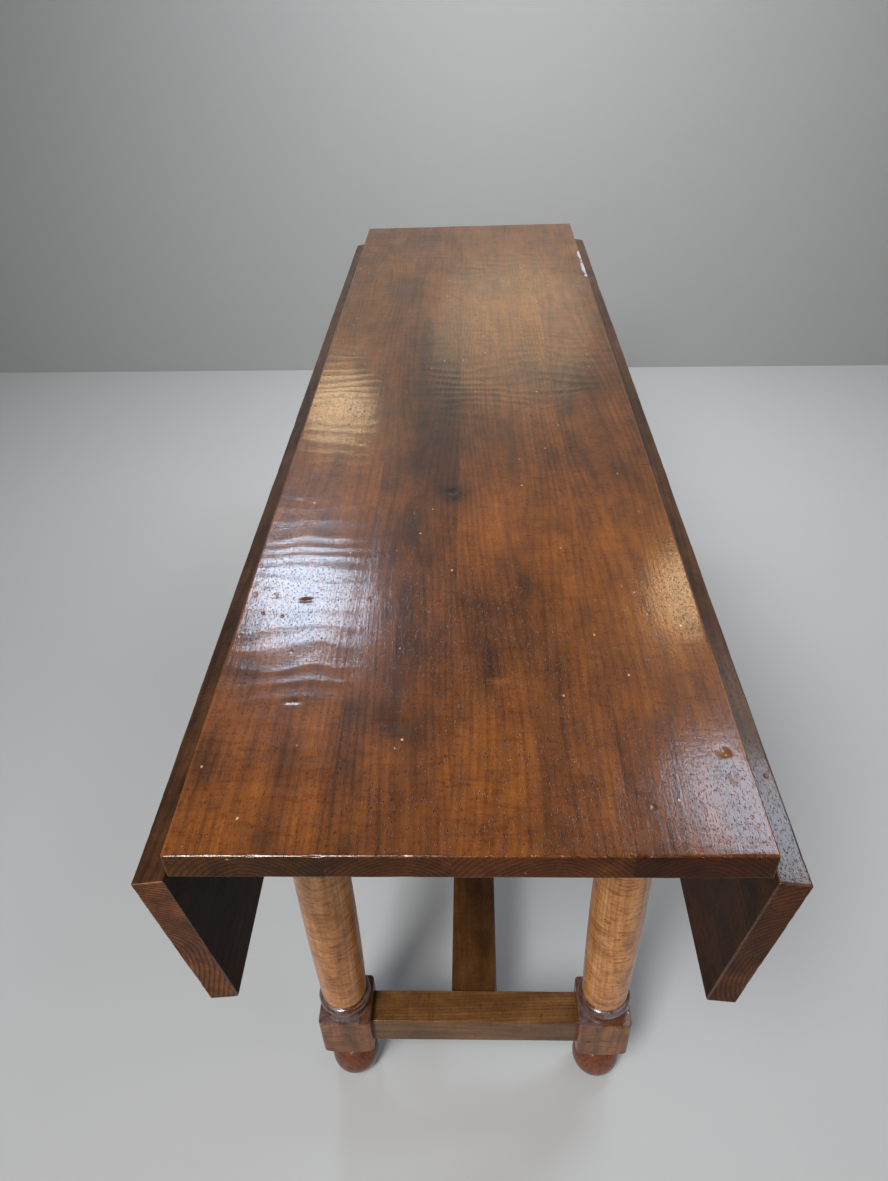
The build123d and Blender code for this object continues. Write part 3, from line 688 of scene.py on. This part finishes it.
# ---- materials of the other pieces --------------------------------------------------------
leg_wood = wood("leg_wood", "Z", block_tones, 3.1, pith=(0.0, 0.0), figure=0.9, curl=0.80, gloss=0.30,
                polish=0.42, pores=0.2, turned_tones=column_tones)
foot_wood = wood("foot_wood", "Z", foot_tones, 5.3, pith=(0.0, 0.0), figure=0.6, curl=0.3, gloss=0.30,
                 polish=0.5, pores=0.3)
rail_wood = wood("rail_wood", "Y", rail_tones, 6.1, figure=0.6, gloss=0.42)
end_rail_wood = wood("end_rail_wood", "X", rail_tones, 7.7, figure=0.6, gloss=0.42)
center_wood = wood("center_wood", "Y", rail_tones, 8.9, figure=0.7, gloss=0.42, polish=0.3)
cross_wood = wood("cross_wood", "X", cross_tones, 9.3, figure=0.7, gloss=0.34, polish=0.4)
peg_wood = wood("peg_wood", "Y", cross_tones, 10.1, figure=0.4, gloss=0.35)
button_wood = wood("button_wood", "Y", rail_tones, 12.7, figure=0.4, gloss=0.5)
hinge_iron = metal("hinge_iron", srgb(70, 66, 64), srgb(74, 44, 30), 0.42, 1.0)
stay_iron = metal("stay_iron", srgb(58, 56, 56), srgb(66, 40, 28), 0.45, 2.0)
steel = metal("bright_steel", srgb(140, 134, 126), srgb(96, 78, 62), 0.30, 3.0)

endings = {
    "_leg": leg_wood, "_foot": foot_wood, "_side_apron": rail_wood, "_end_apron": end_rail_wood,
    "_cross_stretcher": cross_wood, "center_stretcher": center_wood, "_pegs": peg_wood,
    "_buttons": button_wood, "_plate": hinge_iron, "_stay_bar": stay_iron, "_bracket": stay_iron,
    "_pins": steel, "_screws": steel,
}
for name, piece in nodes.items():
    for ending, material in endings.items():
        if name.endswith(ending):
            piece.data.materials.clear()
            piece.data.materials.append(material)


# ---- floor and wall -----------------------------------------------------------------------
def plain(name, color, gloss):
    """Painted floor or wall, very slightly uneven in tone."""
    tree = Tree(name)
    place = tree.add("ShaderNodeTexCoord").outputs["Object"]
    shade = tree.noise(place, (1.3, 1.3, 1.3), detail=3.0)
    darker = tree.mix(1.0, color, (0.93, 0.93, 0.93, 1), "MULTIPLY")
    tree.put(tree.shader.inputs["Base Color"], tree.mix(shade, color, darker))
    tree.shader.inputs["Roughness"].default_value = gloss
    return tree.material


def sheet(name, corners, material):
    """A flat sheet of the studio, which isn't part of the table."""
    mesh = bpy.data.meshes.new(name)
    mesh.from_pydata(corners, [], [(0, 1, 2, 3)])
    mesh.materials.append(material)
    piece = bpy.data.objects.new(name, mesh)
    bpy.context.scene.collection.objects.link(piece)
    return piece


floor_reach = 14.0
wall_y = 1.79
wall_reach = 5.0
wall_height = 2.40
wall_turn = -1.6                                   # degrees
floor_corners = [(-floor_reach, -floor_reach, 0), (floor_reach, -floor_reach, 0),
                 (floor_reach, floor_reach, 0), (-floor_reach, floor_reach, 0)]
sheet("floor", floor_corners, plain("floor_paint", srgb(186, 186, 185), 0.75))
wall_corners = [(-wall_reach, 0, 0), (wall_reach, 0, 0),
                (wall_reach, 0, wall_height), (-wall_reach, 0, wall_height)]
wall = sheet("wall", wall_corners, plain("wall_paint", srgb(160, 160, 159), 0.9))
wall.location.y = wall_y
wall.rotation_euler.z = radians(wall_turn)

# ---- camera, at the photograph's viewing angle --------------------------------------------
eye = Vector((0.0096, -1.1717, 1.2672))
looks_down, looks_right, rolls = 37.53, -2.79, -2.28
camera_data = bpy.data.cameras.new("camera")
camera_data.lens = 26.28
camera_data.sensor_width = 36.0
camera = bpy.data.objects.new("camera", camera_data)
bpy.context.scene.collection.objects.link(camera)
turn = Matrix.Rotation(radians(-looks_right), 4, "Z")
turn = turn @ Matrix.Rotation(radians(90 - looks_down), 4, "X") @ Matrix.Rotation(radians(rolls), 4, "Z")
camera.matrix_world = Matrix.Translation(eye) @ turn
bpy.context.scene.camera = camera


# ---- light --------------------------------------------------------------------------------
def lamp(name, place, aim, size, power, color=(1, 1, 1), shape="RECTANGLE", spread=180):
    """A flat lamp at a place, turned towards aim; spread is the angle of its beam in degrees."""
    data = bpy.data.lights.new(name, "AREA")
    data.shape = shape
    data.size, data.size_y = size
    data.energy = power
    data.spread = radians(spread)
    data.color = color
    piece = bpy.data.objects.new(name, data)
    piece.location = place
    piece.rotation_euler = (Vector(aim) - Vector(place)).to_track_quat("-Z", "Y").to_euler()
    bpy.context.scene.collection.objects.link(piece)


def mirrored_lamp(name, across, along, distance, size, power, color, tilt=0.0):
    """A lamp whose reflection in the rest view lies at that place, on a face leaning by tilt degrees."""
    spot = Vector((across, near_end + along, top_z))
    facing = Vector((sin(radians(tilt)), 0, cos(radians(tilt))))
    place = spot + (spot - eye).normalized().reflect(facing) * distance
    lamp(name, place, spot, size, power, color, "ELLIPSE")


cool, warm = (0.62, 0.79, 1.0), (1.0, 0.74, 0.42)
lamp("soft_key", (-1.6, -2.4, 3.2), (0, 0.1, 0.4), (2.4, 2.4), 9, (1.0, 0.98, 0.96), spread=100)
lamp("near_edge", (-0.93, -2.48, 3.17), (-0.16, -0.80, 0.75), (0.80, 1.60), 30, spread=95)
lamp("soft_fill", (2.6, -1.6, 2.6), (0, 0, 0.4), (2.0, 2.0), 5, (1.0, 0.97, 0.93), spread=110)
lamp("wall_wash", (0.1, 0.2, 2.3), (0.1, 1.8, 0.9), (0.7, 0.5), 12.5, spread=104)
lamp("back_fill", (2.0, 1.6, 2.8), (0, 0, 0.4), (1.2, 1.2), 9, (1.0, 0.98, 0.95))
mirrored_lamp("window", -0.165, 0.295, 2.4, (0.44, 0.36), 12.0, cool)
mirrored_lamp("warm_left", -0.180, 0.715, 1.8, (0.26, 0.20), 1.1, warm)
mirrored_lamp("warm_right", 0.215, 0.300, 2.2, (0.24, 0.30), 2.4, warm)
mirrored_lamp("warm_far", 0.070, 0.970, 1.6, (0.55, 0.46), 0.75, warm)
mirrored_lamp("near_corner", 0.220, 0.045, 2.4, (0.62, 0.36), 9.5, cool)
mirrored_lamp("leaf_corner", 0.232, 0.035, 2.4, (0.50, 0.34), 8.0, cool, 9.2)

world = bpy.data.worlds.new("studio")
world.use_nodes = True
background = world.node_tree.nodes["Background"].inputs
background["Color"].default_value = (0.83, 0.82, 0.81, 1)
background["Strength"].default_value = 0.155
bpy.context.scene.world = world
bpy.context.scene.view_settings.view_transform = "Standard"
